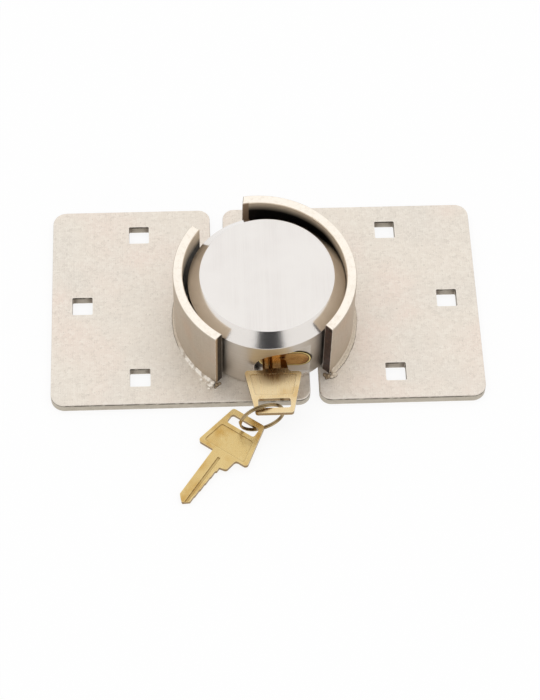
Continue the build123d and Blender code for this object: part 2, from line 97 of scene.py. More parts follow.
class NodeBench:
    """Adds nodes to one shader tree and joins them."""

    columns = 12
    spacing = (220, -260)
    mix_inputs = (6, 7)
    mix_output = 2

    def __init__(self, tree: bpy.types.NodeTree) -> None:
        """Work on one tree.

        Args:
            tree: The empty tree of a material, a world or a group.
        """
        self.tree = tree

    def add(self, kind: str, *feeds: Feed, **settings: object) -> bpy.types.Node:
        """Add a node.

        Args:
            kind: The node's type.
            feeds: What its first inputs take, in order.
            settings: What other inputs take, and properties to set on it, by name.

        Returns:
            The new node.
        """
        row, column = divmod(len(self.tree.nodes), self.columns)
        node = self.tree.nodes.new(kind)
        node.location = (self.spacing[0] * column, self.spacing[1] * row)
        for name, value in settings.items():
            if name in node.inputs:
                self.feed(node.inputs[name], value)
            else:
                setattr(node, name, value)
        for socket, feed in zip(node.inputs, feeds):
            self.feed(socket, feed)
        return node

    def feed(self, socket: Socket, value: Feed) -> None:
        """Join a socket to another one, or set its value.

        Args:
            socket: The input socket.
            value: An output socket, a number or a colour.
        """
        if isinstance(value, Socket):
            self.tree.links.new(value, socket)
        elif isinstance(value, tuple) and socket.type == "RGBA" and len(value) == 3:
            socket.default_value = (*value, 1.0)
        else:
            socket.default_value = value

    def feed_all(self, sockets: Sockets, feeds: dict[str, Feed]) -> None:
        """Feed sockets by their names."""
        for name, feed in feeds.items():
            self.feed(sockets[name], feed)

    def math(self, operation: str, first: Feed, second: Feed = 0.0, clamp: bool = False) -> Socket:
        """Work out one number from two, and keep it between 0 and 1 if it is clamped."""
        node = self.add("ShaderNodeMath", first, second, operation=operation, use_clamp=clamp)
        return node.outputs[0]

    def times(self, first: Feed, second: Feed) -> Socket:
        """Multiply two numbers."""
        return self.math("MULTIPLY", first, second)

    def vector(self, operation: str, first: Feed, second: Feed = (0.0, 0.0, 0.0)) -> Socket:
        """Work out one vector or number from two vectors."""
        node = self.add("ShaderNodeVectorMath", first, second, operation=operation)
        return node.outputs["Value" if operation in ("DOT_PRODUCT", "DISTANCE") else "Vector"]

    def split(self, vector: Feed) -> tuple[Socket, ...]:
        """Give a vector's X, Y and Z."""
        return tuple(self.add("ShaderNodeSeparateXYZ", vector).outputs)

    def span(self, value: Feed, low: float, high: float, start: float = 0, end: float = 1) -> Socket:
        """Stretch a number from low and high to start and end, and keep it between them."""
        return self.add("ShaderNodeMapRange", value, low, high, start, end).outputs[0]

    def blend(self, factor: Feed, first: Feed, second: Feed, share: float = 1.0) -> Socket:
        """Mix two colours.

        Args:
            factor: How much of the second one shows.
            first: The first colour.
            second: The second colour.
            share: The most that it can show.

        Returns:
            The socket with the mixed colour.
        """
        if share != 1.0:
            factor = self.times(factor, share)
        node = self.add("ShaderNodeMix", factor, data_type="RGBA")
        for place, feed in zip(self.mix_inputs, (first, second)):
            self.feed(node.inputs[place], feed)
        return node.outputs[self.mix_output]

    def noise(self, vector: Feed, scale: Feed, detail: float = 2.0, rough: float = 0.55) -> Socket:
        """Add a noise texture, from 0 to 1, with a scale in cells per metre of the vector."""
        feeds = {"Vector": vector, "Scale": scale, "Detail": detail, "Roughness": rough}
        return self.add("ShaderNodeTexNoise", **feeds).outputs[0]

    def place_here(self) -> Socket:
        """Give the point's place in the frame of the model."""
        return self.add("ShaderNodeTexCoord").outputs["Object"]

    def normal(self) -> Socket:
        """Give the surface's normal in the frame of the model, before any bump."""
        return self.add("ShaderNodeTexCoord").outputs["Normal"]


class Effects:
    """Builds each shared effect once, as a node group."""

    vectors = "Vector Stretch Centre Middle Turned Tangent"
    colours = "Clean First Second Color"
    kinds = {**dict.fromkeys(vectors.split(), "Vector"), **dict.fromkeys(colours.split(), "Color")}

    def __init__(self) -> None:
        """Build every group."""
        self.groups: dict[Effect, bpy.types.NodeTree] = {}
        self.grain()
        self.streaks()
        self.stains()
        self.edges()
        self.facing()
        self.around()
        self.creases()
        self.oval()

    def start(self, effect: Effect, inputs: str, outputs: str) -> tuple[NodeBench, Sockets, Sockets]:
        """Start a node group.

        Args:
            effect: The effect that the group is for.
            inputs: The names of its inputs.
            outputs: The names of its outputs.

        Returns:
            The group's bench, the sockets of its inputs and those of its outputs.
        """
        tree = bpy.data.node_groups.new(effect.value, "ShaderNodeTree")
        for way, names in (("INPUT", inputs), ("OUTPUT", outputs)):
            for name in names.split():
                kind = f"NodeSocket{self.kinds.get(name, 'Float')}"
                tree.interface.new_socket(name=name, in_out=way, socket_type=kind)
        self.groups[effect] = tree
        bench = NodeBench(tree)
        return bench, bench.add("NodeGroupInput").outputs, bench.add("NodeGroupOutput").inputs

    def grain(self) -> None:
        """Build small crystals and fine specks, as on zinc-coated steel."""
        bench, taken, given = self.start(Effect.GRAIN, "Vector Scale", "Value Specks")
        vector, scale = taken["Vector"], taken["Scale"]
        shape = {"feature": "F1", "distance": "MINKOWSKI"}
        crystals = bench.add("ShaderNodeTexVoronoi", Vector=vector, Scale=scale, **shape)
        flakes = bench.add("ShaderNodeSeparateColor", crystals.outputs["Color"])
        fine = bench.noise(vector, bench.times(scale, 2.3), 4.0, 0.65)
        mixed = bench.math("ADD", bench.times(flakes.outputs[0], 0.35), bench.times(fine, 0.65))
        dots = bench.noise(vector, bench.times(scale, 0.9), rough=0.4)
        bench.feed_all(given, {"Value": mixed, "Specks": bench.span(dots, 0.68, 0.76)})

    def streaks(self) -> None:
        """Build long scratches of two widths, along whatever the vector is squeezed along."""
        bench, taken, given = self.start(Effect.STREAKS, "Vector Stretch", "Value Scratches")
        squeezed = bench.vector("MULTIPLY", taken["Vector"], taken["Stretch"])
        wide = bench.noise(squeezed, 0.35, rough=0.5)
        fine = bench.noise(squeezed, 1.6, 3.0, 0.6)
        mixed = bench.math("ADD", bench.times(wide, 0.45), bench.times(fine, 0.55))
        lines = bench.span(bench.noise(squeezed, 0.8, 1.0, 0.3), 0.66, 0.74)
        bench.feed_all(given, {"Value": mixed, "Scratches": lines})

    def stains(self) -> None:
        """Build large soft patches of two tints over a clean colour."""
        bench, taken, given = self.start(Effect.STAINS, "Vector Scale Clean First Second", "Color")
        first = bench.span(bench.noise(taken["Vector"], taken["Scale"], rough=0.5), 0.45, 0.68)
        moved = bench.vector("ADD", taken["Vector"], (0.37, 0.11, 0.53))
        smaller = bench.times(taken["Scale"], 1.4)
        second = bench.span(bench.noise(moved, smaller, rough=0.5), 0.47, 0.7)
        tinted = bench.blend(first, taken["Clean"], taken["First"])
        bench.feed(given["Color"], bench.blend(second, tinted, taken["Second"]))

    def edges(self) -> None:
        """Build a mask of the outer edges, broken up, where handling rubs the metal bright; the brass
        also uses it for painted highlights along edges.
        """
        bench, taken, given = self.start(Effect.EDGES, "Radius Breaks", "Mask")
        rounded = bench.add("ShaderNodeBevel", taken["Radius"], samples=6).outputs[0]
        flat = bench.add("ShaderNodeNewGeometry").outputs["Normal"]
        rubbed = bench.span(bench.vector("DOT_PRODUCT", rounded, flat), 0.995, 0.86)
        broken = bench.noise(bench.place_here(), taken["Breaks"], 3.0)
        bench.feed(given["Mask"], bench.times(rubbed, bench.span(broken, 0.35, 0.55, 0.35)))

    def facing(self) -> None:
        """Build how far a face looks up, how far it leans, and how far it stands on edge."""
        bench, _, given = self.start(Effect.FACING, "", "Up Slant Side")
        upward = bench.split(bench.normal())[2]
        side = bench.span(bench.math("ABSOLUTE", upward), 0.5, 0.15)
        up, slant = bench.span(upward, 0.7, 0.95), bench.span(upward, 0.25, 0.5)
        bench.feed_all(given, {"Up": up, "Slant": slant, "Side": side})

    def around(self) -> None:
        """Build directions round an upright post: its ends, its outside, and for turned lines."""
        bench, taken, given = self.start(Effect.AROUND, "Centre", "End Outside Turned Tangent")
        offset = bench.vector("SUBTRACT", bench.place_here(), taken["Centre"])
        away = bench.vector("NORMALIZE", bench.vector("MULTIPLY", offset, LEVEL))
        along = bench.vector("CROSS_PRODUCT", UP, away)
        ending = bench.math("ABSOLUTE", bench.vector("DOT_PRODUCT", along, bench.normal()))
        outward = bench.vector("DOT_PRODUCT", away, bench.normal())
        height = bench.vector("MULTIPLY", offset, UP)
        shrunk = bench.vector("MULTIPLY", away, (0.004, 0.004, 0.0))
        turned = bench.vector("ADD", shrunk, height)
        end, outside = bench.span(ending, 0.6, 0.9), bench.span(outward, -0.2, 0.2)
        bench.feed_all(given, {"End": end, "Outside": outside, "Turned": turned, "Tangent": along})

    def creases(self) -> None:
        """Build a mask of inner corners by ambient occlusion, for painted shade where they would be in
        shadow.
        """
        bench, taken, given = self.start(Effect.CREASE_SHADE, "Reach", "Mask")
        settings = {"samples": 16, "only_local": True, "Distance": taken["Reach"]}
        # painted shade: ambient occlusion darkens corners that the light reaches less
        open_share = bench.add("ShaderNodeAmbientOcclusion", **settings).outputs["AO"]
        bench.feed(given["Mask"], bench.span(open_share, 0.94, 0.65))

    def oval(self) -> None:
        """Build how far a point lies outside an oval with round ends, seen along Y."""
        bench, taken, given = self.start(Effect.OVAL, "Middle Half Radius", "Outside")
        x, _, z = bench.split(bench.vector("SUBTRACT", bench.place_here(), taken["Middle"]))
        past = bench.math("MAXIMUM", bench.math("SUBTRACT", bench.math("ABSOLUTE", x), taken["Half"]))
        reach = bench.math("SQRT", bench.math("ADD", bench.times(past, past), bench.times(z, z)))
        bench.feed(given["Outside"], bench.math("SUBTRACT", reach, taken["Radius"]))


def cleared(owner: Union[bpy.types.Material, bpy.types.World]) -> bpy.types.NodeTree:
    """Empty the nodes of a material or a world.

    Args:
        owner: The material or world.

    Returns:
        Its empty tree.
    """
    owner.use_nodes = True
    owner.node_tree.nodes.clear()
    return owner.node_tree


class Coat(NodeBench):
    """The bench of one finish's material, with its shader and the shared effects."""

    def __init__(self, material: bpy.types.Material, effects: Effects) -> None:
        """Start with a shader alone.

        Args:
            material: The material.
            effects: The shared effects.
        """
        super().__init__(cleared(material))
        self.effects = effects
        self.shader = self.add("ShaderNodeBsdfPrincipled")
        self.add("ShaderNodeOutputMaterial", self.shader.outputs[0])
        self.here = self.place_here()

    def effect(self, effect: Effect, **feeds: Feed) -> Sockets:
        """Place a shared effect, which is read at the point's place if nothing else is said.

        Args:
            effect: Which effect.
            feeds: Values or sockets for its inputs, by name.

        Returns:
            Its outputs.
        """
        node = self.add("ShaderNodeGroup", node_tree=self.effects.groups[effect], **feeds)
        if "Vector" in node.inputs and "Vector" not in feeds:
            self.feed(node.inputs["Vector"], self.here)
        return node.outputs


@dataclass(frozen=True, kw_only=True)
class Finish:
    """A metal finish, whose material is built the first time that it is used.

    It holds its smoothest and dullest roughness, and the depth and strength of its bumps.
    """

    name: str
    metallic: float = 1.0
    rough: Pair
    bump: Pair

    def material(self, effects: Effects) -> bpy.types.Material:
        """Give the material of this finish.

        Args:
            effects: The shared effects.

        Returns:
            The material, built once.
        """
        found = bpy.data.materials.get(self.name)
        if found is None:
            found = bpy.data.materials.new(self.name)
            self.lay(Coat(found, effects))
        return found

    def lay(self, coat: Coat) -> None:
        """Build the nodes that feed the shader.

        Args:
            coat: The material's bench.
        """
        raise NotImplementedError

    def satin(self, coat: Coat, pattern: Feed) -> Socket:
        """Give a roughness that follows a pattern."""
        return coat.span(pattern, 0.3, 0.7, *self.rough)

    def join(self, coat: Coat, colour: Feed, rough: Feed, height: Feed) -> None:
        """Join what was built to the shader.

        Args:
            coat: The material's bench.
            colour: The colour.
            rough: The roughness.
            height: The height of the bumps, from 0 to 1.
        """
        depth, strength = self.bump
        bump = coat.add("ShaderNodeBump", Distance=depth, Strength=strength, Height=height).outputs[0]
        feeds = {"Base Color": colour, "Metallic": self.metallic, "Roughness": rough, "Normal": bump}
        coat.feed_all(coat.shader.inputs, feeds)


@dataclass(frozen=True, kw_only=True)
class ZincPlate(Finish):
    """Warm grained zinc on flat plate, grey and sheared on its edges, with painted shade on the sides
    of its holes and in its inner corners.
    """

    top: float
    metallic: float = 0.75
    rough: Pair = (0.42, 0.6)
    bump: Pair = (0.12 * MM, 0.45)
    grain_scale: float = 900.0
    stain_scale: float = 26.0
    shear: Point = (350.0, 350.0, 4200.0)
    clean: Colour = rgb(234, 225, 213)
    pink: Colour = rgb(236, 222, 210)
    cool: Colour = rgb(230, 222, 211)
    dark: Colour = rgb(176, 166, 152)
    sheared: Colour = rgb(206, 198, 184)
    sheared_dark: Colour = rgb(182, 172, 156)
    burr: Colour = rgb(88, 80, 68)
    burr_depth: float = 1.5 * MM
    burr_fade: float = 0.6
    burr_breaks: float = 300.0
    # painted shade on the sides of the holes and in inner corners
    hole_shade: Colour = rgb(112, 98, 84)
    hole_shade_reach: float = 7.0 * MM
    rubbed: Colour = rgb(250, 245, 236)
    rub_width: float = 0.9 * MM
    rub_breaks: float = 260.0

    def lay(self, coat: Coat) -> None:
        """Build the nodes that feed the shader.

        Args:
            coat: The material's bench.
        """
        grain = coat.effect(Effect.GRAIN, Scale=self.grain_scale)
        flakes = grain["Value"]
        tint = coat.effect(
            Effect.STAINS, Scale=self.stain_scale, Clean=self.clean, First=self.pink, Second=self.cool
        )
        colour = coat.blend(coat.span(flakes, 0.42, 0.2, 0.0, 0.45), tint[0], self.dark)
        colour = coat.blend(coat.span(flakes, 0.5, 0.75, 0.0, 0.6), colour, self.rubbed)
        colour = coat.blend(grain["Specks"], colour, self.dark, 0.38)
        sheared = coat.effect(Effect.STREAKS, Stretch=self.shear)["Value"]
        edge = coat.blend(coat.span(sheared, 0.35, 0.65), self.sheared, self.sheared_dark)
        # painted shade: the sheared sides darken where holes and inner corners would be in shadow
        edge = coat.blend(coat.effect(Effect.CREASE_SHADE, Reach=self.hole_shade_reach)[0], edge, self.hole_shade, 0.85)
        side = coat.effect(Effect.FACING)["Side"]
        colour = coat.blend(side, colour, edge)
        rubbed = coat.effect(Effect.EDGES, Radius=self.rub_width, Breaks=self.rub_breaks)[0]
        colour = coat.blend(rubbed, colour, self.rubbed, 0.6)
        z = coat.split(coat.here)[2]
        high = coat.span(z, self.top - self.burr_depth, self.top - self.burr_fade * self.burr_depth)
        broken = coat.span(coat.noise(coat.here, self.burr_breaks), 0.36, 0.54, 0.3)
        burr = coat.times(coat.times(high, side), broken)
        self.join(coat, coat.blend(burr, colour, self.burr), self.satin(coat, flakes), flakes)


@dataclass(frozen=True, kw_only=True)
class ShroudSteel(Finish):
    """Zinc-coated bent strip: a pale ground rim, drawn walls painted darker than the zinc as shade,
    painted shade inside below the rim, and dark flame-cut ends.
    """

    half: "HaspHalf"
    centre: Point
    top: float
    metallic: float = 0.7
    rough: Pair = (0.38, 0.56)
    bump: Pair = (0.4 * MM, 0.5)
    grain_scale: float = 1100.0
    grain_height: float = 0.25
    stain_scale: float = 55.0
    drawn: Point = (1500.0, 1500.0, 60.0)
    turned: Point = (1700.0, 1700.0, 1700.0)
    burnt: Point = (500.0, 500.0, 1300.0)
    clear_span: float = 22.0 * MM
    # painted light: a lit brown patch at the back of the right half's inner wall
    lit_brown: Colour = rgb(176, 152, 128)
    lit_brown_start: float = 20.0 * MM
    lit_brown_fade: float = 1.0 * MM
    lip: Colour = rgb(198, 172, 142)
    lip_width: float = 1.3 * MM
    soft: float = 0.3 * MM
    # painted shade: the outer walls are darker than the zinc's own colour, as faces turned sideways
    # from the light
    shaded_wall: Colour = rgb(194, 181, 164)
    warm: Colour = rgb(198, 179, 159)
    streak: Colour = rgb(160, 145, 126)
    inside: Colour = rgb(230, 214, 192)
    # painted shade on the inner wall below the rim, for the dark gap between wall and lock
    gap_shade: Colour = rgb(24, 19, 15)
    rim: Colour = rgb(255, 247, 235)
    rim_line: Colour = rgb(214, 196, 172)
    scorched: Colour = rgb(30, 24, 20)
    gap_shade_end: float = 3.5 * MM
    gap_shade_front: float = 7.0 * MM
    gap_shade_back: float = 1.8 * MM
    gap_shade_fade: float = 4.2 * MM
    end_y: float = -43.0 * MM
    front_y: float = -35.0 * MM
    rub_width: float = 0.7 * MM
    rub_breaks: float = 400.0

    def inner_wall(self, coat: Coat) -> Socket:
        """Build the wall's inside: its own pale colour under the rim, painted shade below, and a
        painted lit brown patch at the back of the right half.

        Args:
            coat: The material's bench.

        Returns:
            The socket with its colour.
        """
        x, y, z = coat.split(coat.here)
        start, lit_brown_x = self.half.clear_from, self.half.lit_brown_x
        clear = coat.span(y, start, start + self.clear_span, self.gap_shade_front, self.gap_shade_back)
        end_clear = coat.span(y, self.end_y, self.front_y, self.gap_shade_end, self.gap_shade_front)
        clear = coat.math("MINIMUM", clear, end_clear)
        # painted shade below the rim, clear for a band whose depth changes along the wall
        below = coat.math("SUBTRACT", self.top, coat.math("ADD", z, clear))
        inner = coat.blend(coat.span(below, 0.0, self.gap_shade_fade), self.inside, self.gap_shade)
        # painted light: the brown patch where the back of the inner wall is lit
        by_end = coat.span(x, lit_brown_x + self.soft, lit_brown_x - self.soft)
        behind = coat.span(y, self.lit_brown_start, self.lit_brown_start + self.lit_brown_fade)
        return coat.blend(coat.times(by_end, behind), inner, self.lit_brown)

    def lay(self, coat: Coat) -> None:
        """Build the nodes that feed the shader.

        Args:
            coat: The material's bench.
        """
        around = coat.effect(Effect.AROUND, Centre=self.centre)
        grain = coat.effect(Effect.GRAIN, Scale=self.grain_scale)["Value"]
        tint = coat.effect(
            Effect.STAINS, Scale=self.stain_scale, Clean=self.shaded_wall, First=self.warm, Second=self.shaded_wall
        )
        drawn = coat.effect(Effect.STREAKS, Stretch=self.drawn)["Value"]
        shaded_wall = coat.blend(coat.span(drawn, 0.4, 0.7, 0.0, 0.2), tint[0], self.streak)
        walls = coat.blend(around["Outside"], self.inner_wall(coat), shaded_wall)
        offset = coat.vector("SUBTRACT", coat.here, self.centre)
        turned = coat.effect(Effect.STREAKS, Vector=offset, Stretch=self.turned)["Value"]
        rim = coat.blend(coat.span(turned, 0.5, 0.62, 0.0, 0.28), self.rim, self.rim_line)
        burnt = coat.effect(Effect.STREAKS, Stretch=self.burnt)["Value"]
        end = coat.blend(coat.span(burnt, 0.38, 0.6), self.scorched, self.half.end_colour)
        level = coat.vector("MULTIPLY", coat.here, LEVEL)
        reach = coat.vector("DISTANCE", level, (*self.centre[:2], 0.0))
        lip_start = self.half.radius - self.lip_width
        lip = coat.span(reach, lip_start - self.soft, lip_start + self.soft, 0.0, self.half.lip_share)
        end = coat.blend(lip, end, self.lip)
        sided = coat.blend(around["End"], walls, end)
        topped = coat.blend(coat.effect(Effect.FACING)["Up"], sided, rim)
        rubbed = coat.effect(Effect.EDGES, Radius=self.rub_width, Breaks=self.rub_breaks)[0]
        colour = coat.blend(rubbed, topped, self.rim, 0.75)
        lumps = coat.times(burnt, around["End"])
        height = coat.math("ADD", coat.times(grain, self.grain_height), lumps)
        self.join(coat, colour, self.satin(coat, grain), height)


@dataclass(frozen=True, kw_only=True)
class WeldMetal(Finish):
    """Zinc-coated weld: smooth with a dark toe, and lumpy and bright where it was started, with painted
    shade in the folds between the lumps.
    """

    toe_height: float
    lumps_start: float = -1.0
    metallic: float = 0.4
    rough: Pair = (0.36, 0.5)
    bump: Pair = (0.1 * MM, 0.5)
    grain_scale: float = 1400.0
    fold_scale: float = 420.0
    light: Colour = rgb(244, 237, 226)
    fold: Colour = rgb(184, 170, 152)
    fold_reach: float = 0.9 * MM
    bright: Colour = rgb(218, 205, 187)
    dim: Colour = rgb(196, 182, 163)
    toe: Colour = rgb(104, 92, 78)
    toe_fade: float = 0.3 * MM
    lumps_fade: float = 6.0 * MM

    def lay(self, coat: Coat) -> None:
        """Build the nodes that feed the shader.

        Args:
            coat: The material's bench.
        """
        grain = coat.effect(Effect.GRAIN, Scale=self.grain_scale)["Value"]
        _, y, z = coat.split(coat.here)
        drawn = coat.blend(coat.span(grain, 0.35, 0.65), self.dim, self.bright)
        low = coat.span(z, self.toe_height + self.toe_fade, self.toe_height)
        plain = coat.blend(low, drawn, self.toe)
        folds = coat.span(coat.noise(coat.here, self.fold_scale), 0.34, 0.52)
        lumps = coat.blend(folds, self.fold, self.light)
        # painted shade in the folds, by ambient occlusion
        crease = coat.effect(Effect.CREASE_SHADE, Reach=self.fold_reach)[0]
        shaded = coat.blend(crease, lumps, self.fold, 0.6)
        lumpy = coat.span(y, self.lumps_start, self.lumps_start - self.lumps_fade)
        self.join(coat, coat.blend(lumpy, plain, shaded), self.satin(coat, grain), grain)


@dataclass(frozen=True, kw_only=True)
class TurnedSteel(Finish):
    """Stainless steel: straight brushed on the flat top, turned on the chamfer and the side, with the
    chamfer and the side painted darker than the top as shade, a dark joint line round the oval and a
    painted shadow in the hollow beside the plug.
    """

    centre: Point
    oval: dict[str, Feed]
    hollow: Point
    rough: Pair = (0.38, 0.46)
    chamfer_rough: Pair = (0.15, 0.2)
    bump: Pair = (0.012 * MM, 0.3)
    anisotropic: float = 0.45
    brush: Point = (1300.0, 22.0, 100.0)
    turn: Point = (600.0, 600.0, 6500.0)
    cloud_scale: float = 60.0
    top: Colour = rgb(241, 237, 233)
    top_dim: Colour = rgb(233, 228, 224)
    # painted shade: the chamfer and the side are darker than the top, as faces turned from the light
    chamfer: Colour = rgb(230, 225, 220)
    side: Colour = rgb(205, 197, 187)
    side_dim: Colour = rgb(192, 183, 172)
    rubbed: Colour = rgb(250, 248, 245)
    rub_width: float = 0.6 * MM
    rub_breaks: float = 300.0
    # a dark joint line round the brass oval, and painted shadow in the hollow beside the plug
    joint_and_shade: Colour = rgb(42, 32, 24)
    line_in: float = 0.4 * MM
    line_out: float = 1.0 * MM
    hollow_in: float = 2.4 * MM
    hollow_out: float = 4.2 * MM
    joint_and_shade_back: float = -36.0 * MM
    joint_and_shade_front: float = -38.0 * MM

    def lay(self, coat: Coat) -> None:
        """Build the nodes that feed the shader.

        Args:
            coat: The material's bench.
        """
        facing = coat.effect(Effect.FACING)
        around = coat.effect(Effect.AROUND, Centre=self.centre)
        brushed = coat.effect(Effect.STREAKS, Stretch=self.brush)["Value"]
        turned = coat.effect(Effect.STREAKS, Vector=around["Turned"], Stretch=self.turn)["Value"]
        top = coat.blend(coat.span(brushed, 0.3, 0.62), self.top_dim, self.top)
        clouds = coat.span(coat.noise(coat.here, self.cloud_scale), 0.35, 0.65)
        top = coat.blend(clouds, top, self.top)
        # painted shade on the side and the chamfer, lighter on the top
        side = coat.blend(coat.span(turned, 0.35, 0.62), self.side_dim, self.side)
        sloped = coat.blend(facing["Slant"], side, self.chamfer)
        colour = coat.blend(facing["Up"], sloped, top)
        rubbed = coat.effect(Effect.EDGES, Radius=self.rub_width, Breaks=self.rub_breaks)[0]
        colour = coat.blend(rubbed, colour, self.rubbed, 0.5)
        line = coat.span(coat.effect(Effect.OVAL, **self.oval)[0], self.line_out, self.line_in)
        # painted shadow in the hollow beside the plug
        away = coat.vector("DISTANCE", coat.here, self.hollow)
        corner = coat.span(away, self.hollow_out, self.hollow_in, 0.0, 0.85)
        in_front = coat.span(coat.split(coat.here)[1], self.joint_and_shade_back, self.joint_and_shade_front)
        darkening = coat.times(coat.math("MAXIMUM", line, corner), in_front)
        colour = coat.blend(darkening, colour, self.joint_and_shade)
        lines = coat.blend(facing["Up"], turned, brushed)
        straight = coat.blend(facing["Up"], around["Tangent"], (0.0, 1.0, 0.0))
        coat.feed_all(coat.shader.inputs, {"Anisotropic": self.anisotropic, "Tangent": straight})
        sharp = coat.span(lines, 0.3, 0.7, *self.chamfer_rough)
        leaning = coat.math("SUBTRACT", facing["Slant"], facing["Up"], clamp=True)
        self.join(coat, colour, coat.blend(leaning, self.satin(coat, lines), sharp), lines)


@dataclass(frozen=True, kw_only=True)
class Brass(Finish):
    """Brass with fine scratches, soft tarnish, rubbed edges that are also painted highlights, and
    painted shade on side faces and in creases where asked.
    """

    clean: Colour
    tarnish: Colour
    pale: Colour
    stretch: Point = (900.0, 60.0, 900.0)
    stain_scale: float = 95.0
    rough: Pair = (0.2, 0.36)
    bump: Pair = (0.03 * MM, 0.3)
    rub_width: float = 0.4 * MM
    rub_breaks: float = 500.0
    edge_wear_and_highlight_share: float = 0.8
    # painted shade on side faces and in creases
    shaded: Colour = rgb(116, 84, 42)
    shade_reach: float = 1.6 * MM
    side_shade_share: float = 0.0

    def lay(self, coat: Coat) -> None:
        """Build the nodes that feed the shader.

        Args:
            coat: The material's bench.
        """
        stains = {"Clean": self.clean, "First": self.tarnish, "Second": self.clean}
        tint = coat.effect(Effect.STAINS, Scale=self.stain_scale, **stains)
        streaks = coat.effect(Effect.STREAKS, Stretch=self.stretch)
        fine = streaks["Value"]
        colour = coat.blend(coat.span(fine, 0.5, 0.75, 0.0, 0.35), tint[0], self.pale)
        colour = coat.blend(streaks["Scratches"], colour, self.tarnish, 0.25)
        # painted shade: side faces and creases darken, as faces turned from the light
        if self.side_shade_share:
            crease = coat.times(coat.effect(Effect.CREASE_SHADE, Reach=self.shade_reach)[0], 0.6)
            darkening = coat.math("MAXIMUM", coat.effect(Effect.FACING)["Side"], crease)
            colour = coat.blend(darkening, colour, self.shaded, self.side_shade_share)
        # rubbed wear and painted highlight: the edges are paler
        rubbed = coat.effect(Effect.EDGES, Radius=self.rub_width, Breaks=self.rub_breaks)[0]
        colour = coat.blend(rubbed, self.mark(coat, colour), self.pale, self.edge_wear_and_highlight_share)
        self.join(coat, colour, self.satin(coat, fine), fine)

    def mark(self, coat: Coat, colour: Feed) -> Feed:
        """Add marks of one piece alone.

        Args:
            coat: The material's bench.
            colour: The colour so far.

        Returns:
            The colour with the marks.
        """
        return colour


@dataclass(frozen=True, kw_only=True)
class NeckBrass(Brass):
    """Key brass with a painted shadow round the shoulder, and painted highlight bands on the neck with
    painted shade between.
    """

    shoulder: Point
    highlight_bands: tuple[Pair, ...]
    neck_start: float = 0.9 * MM
    shade_near: float = 1.6 * MM
    shade_far: float = 9.0 * MM
    ridge: Colour = rgb(248, 212, 160)
    shade_brown: Colour = rgb(112, 72, 32)
    soft: float = 0.2 * MM

    def mark(self, coat: Coat, colour: Feed) -> Feed:
        """Add the painted shadow round the shoulder and the painted highlight bands.

        Args:
            coat: The material's bench.
            colour: The colour so far.

        Returns:
            The colour with the marks.
        """
        # painted shadow of the lock round the key's shoulder
        away = coat.vector("DISTANCE", coat.here, self.shoulder)
        shade = coat.span(away, self.shade_far, self.shade_near, 0.0, 0.9)
        colour = coat.blend(shade, colour, self.shade_brown)
        x, y, _ = coat.split(coat.vector("SUBTRACT", coat.here, self.shoulder))
        # painted highlight bands on the neck, with painted shade between them
        lit = 0.0
        for middle, half in self.highlight_bands:
            beside = coat.math("ABSOLUTE", coat.math("SUBTRACT", x, middle))
            lit = coat.math("MAXIMUM", lit, coat.span(beside, half + self.soft, half - self.soft))
        banded = coat.blend(lit, self.shade_brown, self.ridge)
        neck = coat.span(y, self.neck_start - self.soft, self.neck_start + self.soft)
        return coat.blend(neck, colour, banded)


@dataclass(frozen=True, kw_only=True)
class OvalBrass(Brass):
    """Brass of the cylinder's oval face, with a painted highlight line just inside its rim and a dark
    gap line inside that.
    """

    oval: dict[str, Feed]
    # painted highlight along the oval's rim
    line: Colour = rgb(232, 212, 140)
    gap: Colour = rgb(72, 54, 28)
    line_width: float = 0.55 * MM
    soft: float = 0.15 * MM

    def mark(self, coat: Coat, colour: Feed) -> Feed:
        """Add the painted highlight line and the dark gap line.

        Args:
            coat: The material's bench.
            colour: The colour so far.

        Returns:
            The colour with the marks.
        """
        inside = coat.times(coat.effect(Effect.OVAL, **self.oval)[0], -1.0)
        # the dark gap line, then the painted highlight line at the rim
        for lines, tint, share in ((2, self.gap, 0.7), (1, self.line, 0.85)):
            width = lines * self.line_width
            within = coat.span(inside, width + self.soft, width - self.soft, 0.0, share)
            colour = coat.blend(within, colour, tint)
        return colour


@dataclass(frozen=True, kw_only=True)
class HardSteel(Finish):
    """Ground hard steel of the working parts inside."""

    name: str = "hard steel"
    rough: Pair = (0.24, 0.42)
    bump: Pair = (0.03 * MM, 0.3)
    ground: Point = (300.0, 2600.0, 300.0)
    oil_scale: float = 180.0
    light: Colour = rgb(188, 188, 186)
    dark: Colour = rgb(120, 118, 114)

    def lay(self, coat: Coat) -> None:
        """Build the nodes that feed the shader.

        Args:
            coat: The material's bench.
        """
        lines = coat.effect(Effect.STREAKS, Stretch=self.ground)["Value"]
        oil = coat.span(coat.noise(coat.here, self.oil_scale), 0.4, 0.65, 0.0, 0.5)
        colour = coat.blend(coat.span(lines, 0.35, 0.65), self.dark, self.light)
        self.join(coat, coat.blend(oil, colour, self.dark), self.satin(coat, lines), lines)


def dress(finish: Finish, effects: Effects, *nodes: str) -> None:
    """Give nodes of the model their finish.

    Args:
        finish: The finish.
        effects: The shared effects.
        nodes: The nodes' names.
    """
    for node in nodes:
        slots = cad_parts[node].data.materials
        slots.clear()
        slots.append(finish.material(effects))


def as_object(mesh: bmesh.types.BMesh, name: str) -> bpy.types.Object:
    """Turn a finished mesh into a smooth-shaded object in the scene.

    Args:
        mesh: The mesh, which is freed.
        name: The object's name.

    Returns:
        The object.
    """
    data = bpy.data.meshes.new(name)
    mesh.to_mesh(data)
    mesh.free()
    data.shade_smooth()
    piece = bpy.data.objects.new(name, data)
    bpy.context.scene.collection.objects.link(piece)
    return piece


